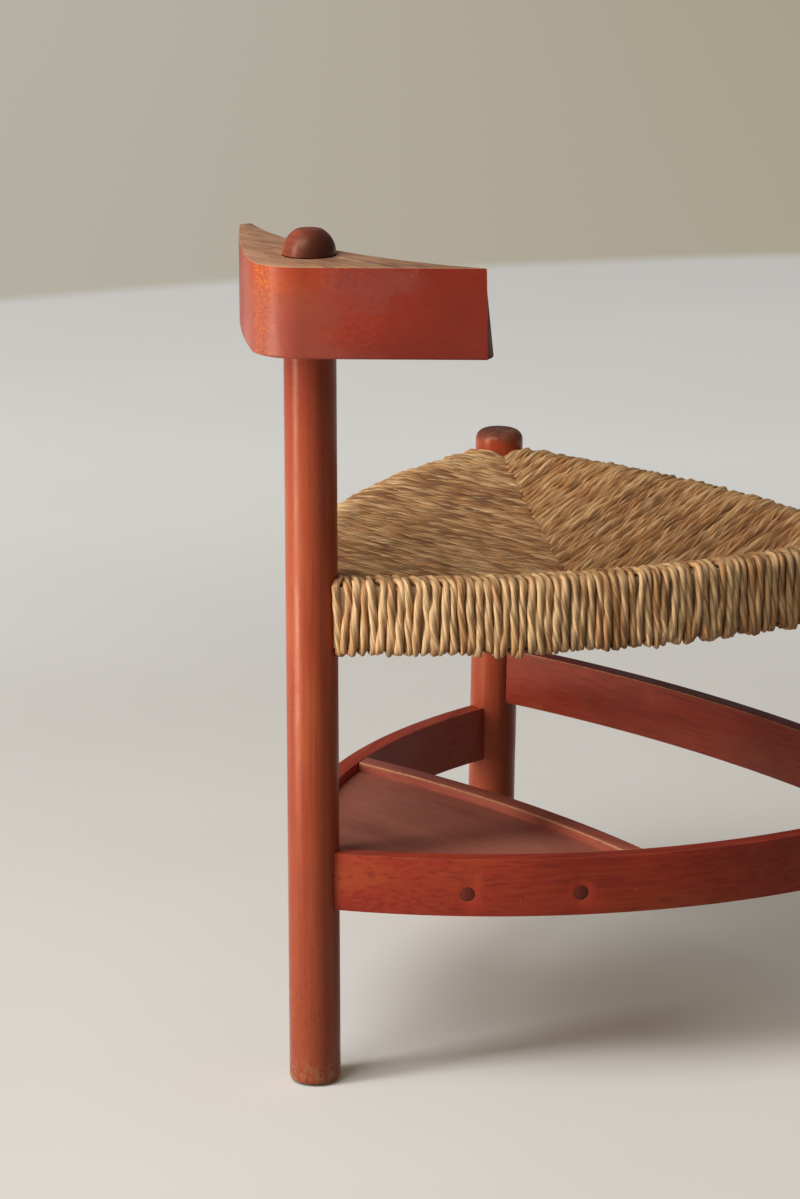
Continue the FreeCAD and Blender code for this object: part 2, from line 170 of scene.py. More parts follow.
class RushSettings(bpy.types.PropertyGroup):
    """Sizes and colours of the woven seat."""

    cord_count: IntProperty(name="Cords", description="Cords over each rail", default=64)
    cord_diameter: length("Cord", "Thickness of the twisted rush", 0.0065)
    twist_length: length("Twist", "Length of one turn of the twist", 0.068)
    plies: IntProperty(name="Plies", description="Leaves twisted into each cord", default=3)
    point_spacing: length("Spacing", "Distance between the points along a cord", 0.0042)
    top_round: length("Upper turn", "Rounding of the rush over the rail", 0.009)
    bottom_round: length("Lower turn", "Rounding of the rush under the rail", 0.0075)
    leg_reach: length("First cord", "Distance from a leg's axis to the first cord's edge", 0.0138)
    weave_drift: length("Drift", "How far the seams meet from the middle", 0.027)
    dish_top: length("Dish", "Height of the seat where the seams meet", 0.3905)
    dish_thickness: length("Dish thickness", "Thickness of the seat where the seams meet", 0.017)
    corner_build_up: length("Corner rise", "Extra height of the seams at the legs", 0.0015)
    seam_sag: share("Seam sag", "How much the seams hang between leg and middle", 0.38)
    seed: IntProperty(name="Seed", description="Start of the cords' small differences", default=7)
    straw: colour("Straw", "Pale, sun-bleached rush", (0.82, 0.525, 0.25))
    gold: colour("Gold", "The usual colour of the rush", (0.54, 0.250, 0.084))
    # The husk colour also paints shade in the cords' creases.
    husk_and_shade: colour("Husk", "Dark, brown fibres", (0.14, 0.054, 0.019))


class StudioSettings(bpy.types.PropertyGroup):
    """The camera, the floor and the light."""

    camera_place: position(
        "Camera", "Where the photograph was taken from", (-2.65533, 2.36492, 1.27962))
    camera_heading: angle(
        "Heading", "Compass turn of the camera about the vertical", math.atan2(-0.76129, -0.64841))
    camera_pitch: angle("Pitch", "How far the camera looks down", math.radians(14.292))
    camera_roll: angle("Roll", "Tilt of the picture", math.radians(-0.1367))
    lens: amount("Lens", "Focal length for a 36 mm frame height, in millimetres", 132.82)
    floor_colour: colour("Floor", "Colour of the floor as the camera sees it", (0.86, 0.86, 0.85))
    far_floor_glow: colour(
        "Far floor glow", "Brightness that the camera sees on the far floor", (0.22, 0.215, 0.20))
    near_floor_glow: colour(
        "Near floor glow", "Warm brightness that the camera sees in front", (0.058, 0.044, 0.020))
    floor_bounce: share(
        "Floor bounce", "Share of the light that the floor throws on the chair", 0.30)
    backdrop_left: colour(
        "Backdrop, lit side", "Colour far behind the chair on the left", (0.475, 0.440, 0.375))
    backdrop_right: colour(
        "Backdrop, shaded side", "Colour far behind the chair on the right", (0.385, 0.345, 0.255))
    floor_reach: length("Floor reach", "Radius at which the floor turns into the backdrop", 3.85)
    floor_shift: length(
        "Floor shift", "How far the floor's middle lies to the camera's right", 1.08)
    window_strength: amount(
        "Window", "Light from the tall window, where one lights white fully", 0.78)
    window_side: angle(
        "Window side", "Turn of the window from the camera, to the left", math.radians(66))
    reflector_strength: amount(
        "Reflector", "Brightness of the strip on the floor under the window", 13.0)
    soft_strength: amount("Soft light", "Light from the large soft lamp overhead", 0.58)
    soft_side: angle(
        "Soft side", "Turn of the soft lamp from the camera, to the left", math.radians(50))
    soft_height: angle("Soft height", "Height angle of the soft lamp", math.radians(52))
    sky_strength: amount("Room light", "Strength of the even light of the room", 0.12)


# Shader nodes

class Shader:
    """Lays out the nodes of one material."""

    def __init__(self, name):
        self.material = bpy.data.materials.new(name)
        self.material.use_nodes = True
        self.tree = self.material.node_tree
        self.surface = self.tree.nodes["Principled BSDF"]

    def feed(self, socket, value):
        if isinstance(value, bpy.types.NodeSocket):
            self.tree.links.new(value, socket)
        elif socket.type == "RGBA" and len(value) == 3:
            socket.default_value = (*value, 1.0)
        else:
            socket.default_value = value

    def node(self, kind, settings=None, **sockets):
        node = self.tree.nodes.new(kind)
        for name, value in (settings or {}).items():
            setattr(node, name, value)
        for name, value in sockets.items():
            self.feed(node.inputs[name], value)
        return node

    def object_place(self):
        return self.node("ShaderNodeTexCoord").outputs["Object"]

    def grain(self, vector, size, turn=(0, 0, 0), **kind):
        """Noise whose streaks have this length, width and depth."""
        streaks = self.node("ShaderNodeMapping", {"vector_type": "TEXTURE"}, Vector=vector,
                            Rotation=turn, Scale=size)
        return self.noise(streaks.outputs["Vector"], **kind)

    def noise(self, vector, scale=1.0, detail=4.0, roughness=0.55):
        return self.node("ShaderNodeTexNoise", None, Vector=vector, Scale=scale, Detail=detail,
                         Roughness=roughness).outputs["Fac"]

    def attribute(self, name, output="Fac"):
        return self.node("ShaderNodeAttribute", {"attribute_name": name}).outputs[output]

    def spread(self, value, low, high, to_low=0.0, to_high=1.0):
        """Map a range of values smoothly onto another."""
        node = self.node("ShaderNodeMapRange", {"interpolation_type": "SMOOTHSTEP"}, Value=value)
        for name, limit in (("From Min", low), ("From Max", high), ("To Min", to_low),
                            ("To Max", to_high)):
            self.feed(node.inputs[name], limit)
        return node.outputs["Result"]

    def sum(self, operation, first, second):
        node = self.node("ShaderNodeMath", {"operation": operation})
        self.feed(node.inputs[0], first)
        self.feed(node.inputs[1], second)
        return node.outputs[0]

    def times(self, first, second):
        return self.sum("MULTIPLY", first, second)

    def mix(self, factor, first, second):
        node = self.node("ShaderNodeMix", {"data_type": "RGBA"}, Factor=factor)
        colours = [socket for socket in node.inputs if socket.type == "RGBA"]
        self.feed(colours[0], first)
        self.feed(colours[1], second)
        return next(socket for socket in node.outputs if socket.type == "RGBA")

    def lay(self, tone, over, value, low, high, weight=1.0):
        """Lay a colour over a tone, from none of it at the low value to its weight at the high."""
        return self.mix(self.spread(value, low, high, 0.0, weight), tone, over)

    def part(self, vector, axis):
        return self.node("ShaderNodeSeparateXYZ", None, Vector=vector).outputs[axis]

    def vectors(self, operation, first, second, output="Value"):
        node = self.node("ShaderNodeVectorMath", {"operation": operation})
        self.feed(node.inputs[0], first)
        self.feed(node.inputs[1], second)
        return node.outputs[output]

    def bump(self, height, strength, distance, normal=None):
        node = self.node("ShaderNodeBump", None, Height=height, Strength=strength,
                         Distance=distance)
        if normal is not None:
            self.feed(node.inputs["Normal"], normal)
        return node.outputs["Normal"]

    def finish(self, **sockets):
        for name, value in sockets.items():
            self.feed(self.surface.inputs[name.replace("_", " ")], value)
        return self.material


class Stain:
    """The tones of one stained piece: its lightest, its usual and its deepest."""

    def __init__(self, bright, usual, deep):
        self.bright = bright
        self.usual = usual
        self.deep = deep


def shades_of(colour, bright, deep):
    """A stain of one colour, lighter and darker by these factors."""
    return Stain([part * bright for part in colour], colour, [part * deep for part in colour])


def red_stain():
    wood = bpy.context.scene.chair_wood
    return Stain(wood.bright_stain_and_light, wood.red_stain, wood.deep_stain)


def stained_wood(name, along, stain=None, gloss=0.38, streak=0.5, thin=0.6, worn=None,
                 touch=None):
    """Beech under an old stain: streaks along the grain, flecks, scratches and rubbed arrises."""
    wood = bpy.context.scene.chair_wood
    stain = stain or red_stain()
    shader = Shader(name)
    place = shader.object_place()
    turn = along.to_track_quat("X", "Z").to_euler()
    broad = shader.grain(place, (0.15, 0.045, 0.045), turn, detail=2.0)
    grain = shader.grain(place, (0.10, 0.0028, 0.0028), turn, detail=5.0)
    pores = shader.grain(place, (0.0045, 0.0006, 0.0006), turn, detail=1.0)
    scratch = shader.grain(place, (0.045, 0.0007, 0.0007), turn, detail=2.0)
    cloud = shader.noise(place, scale=19.0, detail=4.0, roughness=0.6)
    speckle = shader.noise(place, scale=330.0, detail=3.0, roughness=0.7)

    tone = shader.lay(stain.usual, stain.bright, broad, 0.50, 0.70, 0.75)
    tone = shader.lay(tone, stain.deep, broad, 0.48, 0.30, 0.55)
    tone = shader.lay(tone, stain.deep, grain, 0.50, 0.66, streak)
    tone = shader.lay(tone, stain.bright, grain, 0.48, 0.34, 0.6 * streak)
    tone = shader.lay(tone, wood.dark_stain, pores, 0.66, 0.74, 0.45)
    if touch:
        tone = touch(shader, place, tone)

    rubbed = shader.times(shader.spread(cloud, 0.58, 0.72),
                          shader.spread(speckle, 0.50, 0.70, 0.0, 0.7))
    rubbed = shader.sum("MAXIMUM", rubbed, shader.spread(scratch, 0.70, 0.78, 0.0, 0.45))
    tone = shader.mix(shader.times(rubbed, thin), tone, wood.thin_stain)
    patchy = shader.times(shader.attribute("wear"), shader.spread(speckle, 0.40, 0.60, 0.45, 0.95))
    tone = shader.mix(patchy, tone, worn or wood.worn_wood)

    relief = shader.bump(grain, 0.10, 0.0005)
    relief = shader.bump(cloud, 0.12, 0.003, relief)
    relief = shader.bump(pores, 0.15, 0.0002, relief)
    roughness = shader.spread(cloud, 0.35, 0.70, gloss - 0.04, gloss + 0.10)
    return shader.finish(Base_Color=tone, Roughness=roughness, Normal=relief,
                         Specular_IOR_Level=0.34, Specular_Tint=(1.0, 0.70, 0.50))


def bare_beech(name, along):
    """Unstained beech, which stays hidden inside the seat."""
    pale = shades_of((0.60, 0.42, 0.25), 1.15, 0.75)
    return stained_wood(name, along, pale, gloss=0.62, streak=0.7, thin=0.0)


def straw_material(name):
    """Twisted rush: plies of differing age, fibre streaks and painted shade in the creases
    between.
    """
    rush = bpy.context.scene.chair_rush
    shader = Shader(name)
    fibre = shader.attribute("fibre", "Vector")
    shade = shader.attribute("shade")
    crease = shader.attribute("crease")
    streaks = shader.grain(fibre, (0.050, 0.46, 0.46), detail=3.0)
    fine_streaks = shader.grain(fibre, (0.020, 0.15, 0.15), detail=3.0, roughness=0.65)
    patch = shader.noise(shader.object_place(), scale=22.0, detail=3.0)

    tone = shader.lay(rush.gold, rush.straw, shade, 0.25, 1.0, 0.85)
    tone = shader.lay(tone, rush.husk_and_shade, shade, 0.30, 0.0, 0.55)
    tone = shader.lay(tone, rush.straw, patch, 0.52, 0.70, 0.40)
    tone = shader.lay(tone, rush.husk_and_shade, patch, 0.46, 0.30, 0.40)
    tone = shader.lay(tone, rush.straw, streaks, 0.54, 0.66, 0.85)
    tone = shader.lay(tone, rush.husk_and_shade, streaks, 0.46, 0.34, 0.70)
    tone = shader.lay(tone, rush.husk_and_shade, fine_streaks, 0.52, 0.66, 0.45)
    # Painted shade: the creases between plies are darkened with the husk colour.
    tone = shader.lay(tone, rush.husk_and_shade, crease, 0.45, 1.0, 0.42)
    relief = shader.bump(streaks, 0.6, 0.0012)
    relief = shader.bump(fine_streaks, 0.5, 0.0006, relief)
    return shader.finish(Base_Color=tone, Roughness=0.52, Normal=relief, Specular_IOR_Level=0.45)


# Mesh helpers

def cad_copy(node):
    """A mesh copy of a CAD node, its loose triangles joined into clean faces."""
    mesh = bmesh.new()
    mesh.from_mesh(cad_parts[node].data)
    bmesh.ops.remove_doubles(mesh, verts=mesh.verts, dist=JOIN_DISTANCE)
    bmesh.ops.dissolve_limit(mesh, angle_limit=FLAT_ANGLE, verts=mesh.verts,
                             edges=mesh.edges)
    return mesh


def round_arrises(mesh, width, wanted, segments=3):
    """Round the sharp edges that pass the test, and paint how rubbed each point is."""
    wear = mesh.verts.layers.float.get("wear") or mesh.verts.layers.float.new("wear")
    sharp = [edge for edge in mesh.edges
             if edge.is_manifold and edge.calc_face_angle() > ARRIS_ANGLE and wanted(edge)]
    made = bmesh.ops.bevel(mesh, geom=sharp, offset=width, offset_type="OFFSET", affect="EDGES",
                           segments=segments, profile=0.5, material=-1, clamp_overlap=True)
    rounded = set(made["faces"])
    for vertex in mesh.verts:
        vertex[wear] = float(all(face in rounded for face in vertex.link_faces))


def stand(name, data):
    """Add an object with this data to the scene."""
    thing = bpy.data.objects.new(name, data)
    bpy.context.scene.collection.objects.link(thing)
    return thing


def add_piece(mesh, node, finish, material):
    """Turn a bmesh into a finished piece that stands for a CAD node."""
    name = f"{node}_{finish}"
    data = bpy.data.meshes.new(name)
    mesh.to_mesh(data)
    mesh.free()
    data.shade_smooth()
    data.set_sharp_from_angle(angle=SHARP_ANGLE)
    data.materials.append(material)
    piece = stand(name, data)
    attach(piece, ROOT)
    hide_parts(node)
    return piece


def arc_points(centre_x, centre_z, radius, first, last, steps):
    """Points of an arc in the XZ plane."""
    points = []
    for index in range(steps + 1):
        angle = first + (last - first) * index / steps
        points.append(Vector((centre_x + radius * math.cos(angle), 0,
                              centre_z + radius * math.sin(angle))))
    return points


def lathe(profile, turns=72):
    """Spin a half outline about the vertical, from its foot on the axis to its top."""
    mesh = bmesh.new()
    verts = [mesh.verts.new(point) for point in profile]
    edges = [mesh.edges.new(pair) for pair in zip(verts, verts[1:])]
    bmesh.ops.spin(mesh, geom=verts + edges, cent=(0, 0, 0), axis=(0, 0, 1),
                   angle=math.radians(360), steps=turns, use_merge=True)
    bmesh.ops.remove_doubles(mesh, verts=mesh.verts, dist=JOIN_DISTANCE)
    bmesh.ops.recalc_face_normals(mesh, faces=mesh.faces)
    return mesh


# Wooden pieces

def leg_axes():
    splay = bpy.context.scene.chair_wood.splay
    return (LegAxis("rear_leg", 0.0), LegAxis("front_leg_left", -splay),
            LegAxis("front_leg_right", splay))


def peg_centres(node):
    """The middle of each peg's outer end, told apart by how far forward it stands."""
    points = sorted(node_points(node), key=lambda point: point.y)
    gaps = [after.y - before.y for before, after in zip(points, points[1:])]
    split = gaps.index(max(gaps)) + 1
    centres = []
    for group in (points[:split], points[split:]):
        reach = max(abs(point.x) for point in group)
        end = [point for point in group if abs(point.x) > reach - PEG_REACH]
        centres.append(sum(end, Vector()) / len(end))
    return centres


def clear_of_legs():
    """A test for edges away from the legs' surfaces, where the boards are scribed to them."""
    axes = leg_axes()

    def is_clear(edge):
        middle = (edge.verts[0].co + edge.verts[1].co) / 2
        return all((middle - axis.at(middle.z)).length > LEG_RADIUS + 0.002 for axis in axes)

    return is_clear


class CHAIR_OT_finish_legs(bpy.types.Operator):
    """Turn the three legs with rounded feet and tops"""

    bl_idname = "chair.finish_legs"
    bl_label = "Finish Legs"

    def execute(self, context):
        wood = context.scene.chair_wood
        orange = Stain((0.46, 0.098, 0.032), (0.40, 0.066, 0.026), (0.25, 0.032, 0.016))
        tall, short = (stained_wood(name, UP, orange, gloss=0.29, thin=0.5, touch=touch)
                       for name, touch in (("leg stain", self.scuffed_foot),
                                           ("short leg stain", self.brown_top)))
        rear, left, right = leg_axes()
        for node, axis, top, top_round, material in (
                ("rear_leg", rear, REAR_LEG_TOP, None, tall),
                ("front_leg_left", left, FRONT_LEG_TOP, wood.leg_top_round, short),
                ("front_leg_right", right, FRONT_LEG_TOP, wood.leg_top_round, short)):
            mesh = self.turned_leg(axis, top, wood.foot_round, top_round)
            add_piece(mesh, node, "turned", material)
        return {"FINISHED"}

    def scuffed_foot(self, shader, place, tone):
        """The lower leg is browner, and the foot is rubbed and dirty."""
        wood = bpy.context.scene.chair_wood
        height = shader.part(place, "Z")
        scuffs = shader.noise(place, scale=150.0, detail=4.0, roughness=0.7)
        dashes = shader.grain(place, (0.0015, 0.0015, 0.006), detail=2.0)
        tone = shader.lay(tone, (0.42, 0.088, 0.040), height, 0.36, 0.02, 0.65)
        tone = shader.lay(tone, wood.deep_stain, height, 0.38, 0.60, 0.42)
        dark = shader.times(shader.spread(height, 0.20, 0.03),
                            shader.spread(dashes, 0.60, 0.68, 0.0, 0.6))
        tone = shader.mix(dark, tone, wood.dark_stain)
        rubbed = shader.times(shader.spread(height, 0.030, 0.004),
                              shader.spread(scuffs, 0.46, 0.58, 0.0, 0.55))
        tone = shader.mix(rubbed, tone, wood.worn_wood)
        return shader.lay(tone, wood.grime_and_shade, height, 0.0035, 0.0005, 0.8)

    def turned_leg(self, axis, top, foot_round, top_round):
        length = top / axis.direction().z
        profile = [Vector((0, 0, 0))]
        profile += arc_points(LEG_RADIUS - foot_round, foot_round, foot_round, -math.pi / 2, 0, 6)
        profile.append(Vector((LEG_RADIUS, 0, length / 2)))
        if top_round:
            profile += arc_points(LEG_RADIUS - top_round, length - top_round, top_round, 0,
                                  math.pi / 2, 10)
        else:
            profile.append(Vector((LEG_RADIUS, 0, length)))
        profile.append(Vector((0, 0, length)))
        mesh = lathe(profile)
        turn = UP.rotation_difference(axis.direction()).to_matrix().to_4x4()
        bmesh.ops.transform(mesh, matrix=Matrix.Translation(axis.at(0)) @ turn, verts=mesh.verts)
        bmesh.ops.bisect_plane(mesh, geom=mesh.verts[:] + mesh.edges[:] + mesh.faces[:],
                               plane_co=(0, 0, 0), plane_no=(0, 0, -1), clear_outer=True)
        return mesh

    def brown_top(self, shader, place, tone):
        """The end grain on a short leg's top is brown, and the brown runs over its rim."""
        wood = bpy.context.scene.chair_wood
        tone = self.scuffed_foot(shader, place, tone)
        height = shader.part(place, "Z")
        spots = shader.noise(place, scale=60.0, detail=3.0)
        edge = shader.sum("ADD", height, shader.spread(spots, 0.3, 0.7, -0.0025, 0.0025))
        rim = FRONT_LEG_TOP - wood.leg_top_round
        brown = shader.lay((0.13, 0.038, 0.024), (0.22, 0.072, 0.038), spots, 0.40, 0.62)
        return shader.lay(tone, brown, edge, rim - 0.002, rim + 0.006)


class CHAIR_OT_finish_knob(bpy.types.Operator):
    """Turn the knob that stands on the backrest"""

    bl_idname = "chair.finish_knob"
    bl_label = "Finish Knob"

    def execute(self, context):
        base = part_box("backrest")[1].z
        radius = box_size("knob").y / 2
        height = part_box("knob")[1].z - base
        centre = 0.0015
        lowest = math.asin((0.0008 - centre) / radius)
        highest = math.asin((height - centre - 0.0004) / radius)
        dome = arc_points(0, centre, radius, lowest, highest, 20)
        flat = dome[-1].x
        mesh = lathe([Vector((0, 0, 0.0003)), Vector((radius - 0.0022, 0, 0.0003)), *dome,
                      Vector((flat - 0.0012, 0, height - 0.0001)),
                      Vector((flat - 0.0026, 0, height)), Vector((0, 0, height))])
        middle = box_middle("knob")
        place = Matrix.Translation((middle.x, middle.y, base))
        bmesh.ops.transform(mesh, matrix=place, verts=mesh.verts)
        material = stained_wood("knob stain", Vector((1, 0, 0)),
                                shades_of((0.27, 0.062, 0.033), 1.6, 0.55), gloss=0.27, thin=0.6,
                                touch=self.lit_and_handled_side)
        add_piece(mesh, "knob", "turned", material)
        return {"FINISHED"}

    def lit_and_handled_side(self, shader, place, tone):
        """Painted light on the left and shade on the right; hands wore the stain orange low on the
        left.
        """
        wood = bpy.context.scene.chair_wood
        side = shader.sum("SUBTRACT", shader.part(place, "X"), box_middle("knob").x)
        height = shader.sum("SUBTRACT", shader.part(place, "Z"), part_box("backrest")[1].z)
        specks = shader.grain(place, (0.005, 0.005, 0.0022), roughness=0.7)
        # Painted shade: the knob's right side is darkened with the grime colour.
        tone = shader.lay(tone, wood.grime_and_shade, side, 0.004, -0.020, 0.75)
        # Painted light: the knob's left side is brightened with the bright stain.
        tone = shader.lay(tone, wood.bright_stain_and_light, side, 0.004, 0.022, 0.55)
        low = shader.times(shader.spread(height, 0.020, 0.004),
                           shader.spread(side, 0.002, 0.018))
        worn = shader.times(low, shader.spread(specks, 0.42, 0.56))
        return shader.mix(worn, tone, wood.thin_stain)


class CHAIR_OT_finish_backrest(bpy.types.Operator):
    """Shape the backrest as photographed, round its arrises and rub its top face"""

    bl_idname = "chair.finish_backrest"
    bl_label = "Finish Backrest"

    def execute(self, context):
        wood = context.scene.chair_wood
        foot, top = (corner.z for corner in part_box("backrest"))
        axis = box_middle("rear_leg")
        mesh = self.shaped_block(wood, axis, foot, top)

        def at_foot(edge):
            return all(vertex.co.z < foot + JOIN_DISTANCE for vertex in edge.verts) and outer(edge)

        def outer(edge):
            middle = (edge.verts[0].co + edge.verts[1].co) / 2
            return (middle - axis).to_2d().length > LEG_RADIUS

        def above_foot(edge):
            return max(vertex.co.z for vertex in edge.verts) > top - 0.001 and outer(edge)

        round_arrises(mesh, wood.backrest_round * 1.5, at_foot)
        round_arrises(mesh, wood.backrest_round * 0.6, above_foot)
        wear = mesh.verts.layers.float["wear"]
        for vertex in mesh.verts:
            if vertex.co.z < top - 0.003:
                vertex[wear] = 0.0
        across = Vector((1, 0, 0))
        material = stained_wood("backrest stain", across, gloss=0.35, streak=0.45, thin=0.65,
                                worn=(0.62, 0.31, 0.13), touch=self.handled_nose)
        piece = add_piece(mesh, "backrest", "shaped", material)
        tan = Stain((0.78, 0.47, 0.28), (0.62, 0.33, 0.19), (0.36, 0.155, 0.085))
        rubbed = stained_wood("rubbed top", across, tan, gloss=0.45, streak=0.75, thin=0.4,
                              touch=self.brown_patches)
        hidden = shades_of((0.15, 0.026, 0.016), 1.5, 0.6)
        front = stained_wood("hollow stain", across, hidden, gloss=0.52, streak=0.5, thin=0.3)
        for stain in (rubbed, front):
            piece.data.materials.append(stain)
        for face in piece.data.polygons:
            if face.center.z > top - wood.backrest_round / 8:
                face.material_index = 1
            elif face.normal.y < -0.3:
                face.material_index = 2
        return {"FINISHED"}

    def shaped_block(self, wood, axis, foot, top):
        """The block with a turned nose, uneven wings and the leg's bore, widest at its foot."""
        low = self.outline(wood, axis, wood.hollow_lean, 0.001)
        high = self.outline(wood, axis, 0.0, 0.0)
        mesh = bmesh.new()
        rim = [mesh.verts.new((*point, foot)) for point in low]
        bore = []
        for index in range(48):
            angle = 2 * math.pi * index / 48
            bore.append(mesh.verts.new((axis.x + (LEG_RADIUS + 0.0003) * math.cos(angle),
                                        axis.y + (LEG_RADIUS + 0.0003) * math.sin(angle), foot)))
        edges = []
        for ring in (rim, bore):
            edges += [mesh.edges.new(pair) for pair in zip(ring, ring[1:] + ring[:1])]
        bmesh.ops.triangle_fill(mesh, edges=edges, use_beauty=True)
        bmesh.ops.dissolve_limit(mesh, angle_limit=FLAT_ANGLE, verts=[], edges=[
            edge for edge in mesh.edges if not edge.is_boundary])
        lifted = bmesh.ops.extrude_face_region(mesh, geom=mesh.faces[:] + mesh.edges[:],
                                               use_keep_orig=True)
        raised = [item for item in lifted["geom"] if isinstance(item, bmesh.types.BMVert)]
        for vertex in raised:
            for before, after in zip(low, high):
                if (vertex.co.to_2d() - before).length < JOIN_DISTANCE:
                    vertex.co.x, vertex.co.y = after
                    break
            vertex.co.z = top
        bmesh.ops.recalc_face_normals(mesh, faces=mesh.faces)
        return mesh

    def outline(self, wood, axis, forward, longer):
        """The block's outline at one height, from the near wing round the nose to the hollow."""
        heading = wood.near_wing_turn
        point = axis.to_2d() + Vector(wood.near_wing_end)
        ahead = Vector((math.cos(heading), math.sin(heading)))
        points = [point - ahead * longer]
        point = point + ahead * wood.near_wing_length
        bends = ((heading + wood.far_wing_turn, wood.nose_radius, 36),
                 (wood.far_wing_bow, wood.far_wing_length / wood.far_wing_bow, 14))
        for turn, radius, steps in bends:
            points.append(point)
            chord = 2 * radius * math.sin(turn / steps / 2)
            for step in range(steps):
                middle = heading - turn / steps / 2
                point = point + chord * Vector((math.cos(middle), math.sin(middle)))
                heading -= turn / steps
                points.append(point)
            points.pop()
        points.append(point + longer * Vector((math.cos(heading), math.sin(heading))))
        radius = wood.hollow_radius - 4 * forward
        first = point.x - 0.003 - forward / 3
        last = points[0].x + 0.002 + forward / 3
        for index in range(41):
            across = first + (last - first) * index / 40
            drop = radius - math.sqrt(radius ** 2 - (across - axis.x - 0.009) ** 2)
            points.append(Vector((across, axis.y - 0.029 - forward - drop)))
        return points

    def brown_patches(self, shader, place, tone):
        """Brown stain is left on the rubbed top in streaks and patches."""
        patch = shader.grain(place, (0.034, 0.009, 0.02), detail=5.0, roughness=0.62)
        return shader.lay(tone, (0.24, 0.11, 0.070), patch, 0.47, 0.62, 0.60)

    def handled_nose(self, shader, place, tone):
        """Hands wore the stain thin down the nose, and a dull film lies on the wings."""
        wood = bpy.context.scene.chair_wood
        offset = shader.sum("SUBTRACT", shader.part(place, "X"), -0.008)
        sideways = shader.sum("ABSOLUTE", offset, 0.0)
        behind = shader.spread(shader.part(place, "Y"), 0.20, 0.235)
        flakes = shader.grain(place, (0.0030, 0.0030, 0.0017), roughness=0.7)
        nose = shader.times(shader.spread(sideways, 0.016, 0.003), behind)
        flaked = shader.times(nose, shader.spread(flakes, 0.47, 0.57, 0.05, 0.95))
        warm = shader.times(shader.spread(sideways, 0.085, 0.045, 0.0, 0.40), behind)
        tone = shader.mix(warm, tone, wood.bright_stain_and_light)
        tone = shader.mix(flaked, tone, wood.thin_stain)
        tone = shader.lay(tone, wood.deep_stain, sideways, 0.040, 0.110, 0.75)
        film = shader.grain(place, (0.10, 0.10, 0.05), detail=3.0)
        return shader.lay(tone, (0.24, 0.085, 0.078), film, 0.48, 0.66, 0.30)


class CHAIR_OT_finish_stretchers(bpy.types.Operator):
    """Round and stain the three bowed stretchers"""

    bl_idname = "chair.finish_stretchers"
    bl_label = "Finish Stretchers"

    def execute(self, context):
        wood = context.scene.chair_wood
        rear, left, right = (axis.at(0) for axis in leg_axes())
        # The front stretcher gets a darker copy of the stain: painted shade.
        painted_shade_stain = Stain((0.33, 0.050, 0.020), (0.27, 0.030, 0.016), (0.16, 0.017, 0.011))
        for node, chord, stain in (("side_stretcher_left", left - rear, None),
                                   ("side_stretcher_right", right - rear, None),
                                   ("front_stretcher", right - left, painted_shade_stain)):
            mesh = cad_copy(node)
            round_arrises(mesh, wood.board_round, clear_of_legs())
            material = stained_wood(f"{node} stain", chord.normalized(), stain, streak=0.6,
                                    thin=0.5, touch=self.peg_halo(node))
            add_piece(mesh, node, "rounded", material)
        return {"FINISHED"}

    def peg_halo(self, node):
        """The stain is redder round the pegs of a side stretcher."""
        wood = bpy.context.scene.chair_wood
        pegs = node.replace("side_stretcher", "cleat_pegs")
        centres = peg_centres(pegs) if pegs != node else []

        def touch(shader, place, tone):
            for centre in centres:
                near = shader.vectors("DISTANCE", place, centre)
                halo = shader.spread(near, PEG_REACH * 1.6, PEG_REACH * 0.95, 0.0, 0.75)
                tone = shader.mix(halo, tone, [1.15 * part for part in wood.red_stain])
            return tone

        return touch


class CHAIR_OT_finish_shelf(bpy.types.Operator):
    """Finish the shelf, its lip, cleats and pegs"""

    bl_idname = "chair.finish_shelf"
    bl_label = "Finish Shelf"

    def execute(self, context):
        wood = context.scene.chair_wood
        across = Vector((1, 0, 0))
        rail_along = Vector((0.35, 1, 0)).normalized()
        lip = cad_copy("shelf_lip")
        round_arrises(lip, wood.board_round, clear_of_legs())
        dusty = Stain((0.42, 0.120, 0.072), (0.36, 0.088, 0.056), (0.24, 0.048, 0.034))
        add_piece(lip, "shelf_lip", "rounded", stained_wood("lip stain", across, dusty))
        dull = Stain((0.42, 0.145, 0.098), (0.35, 0.115, 0.080), (0.25, 0.068, 0.048))
        matt = stained_wood("shelf stain", across, dull, gloss=0.52, streak=0.3, thin=0.15)
        add_piece(cad_copy("shelf_panel"), "shelf_panel", "finished", matt)
        for side in ("left", "right"):
            cleat = cad_copy(f"shelf_cleat_{side}")
            round_arrises(cleat, wood.board_round / 2, clear_of_legs())
            stain = stained_wood(f"cleat {side} stain", rail_along, thin=0.3)
            add_piece(cleat, f"shelf_cleat_{side}", "rounded", stain)
            rail_along.x = -rail_along.x
            pegs = cad_copy(f"cleat_pegs_{side}")
            round_arrises(pegs, wood.peg_ring, clear_of_legs(), segments=2)
            dark = stained_wood(f"peg {side}", UP, shades_of((0.13, 0.019, 0.012), 1.4, 0.5),
                                gloss=0.5, thin=0.3, worn=wood.grime_and_shade)
            add_piece(pegs, f"cleat_pegs_{side}", "cut", dark)
        return {"FINISHED"}


# Woven rush

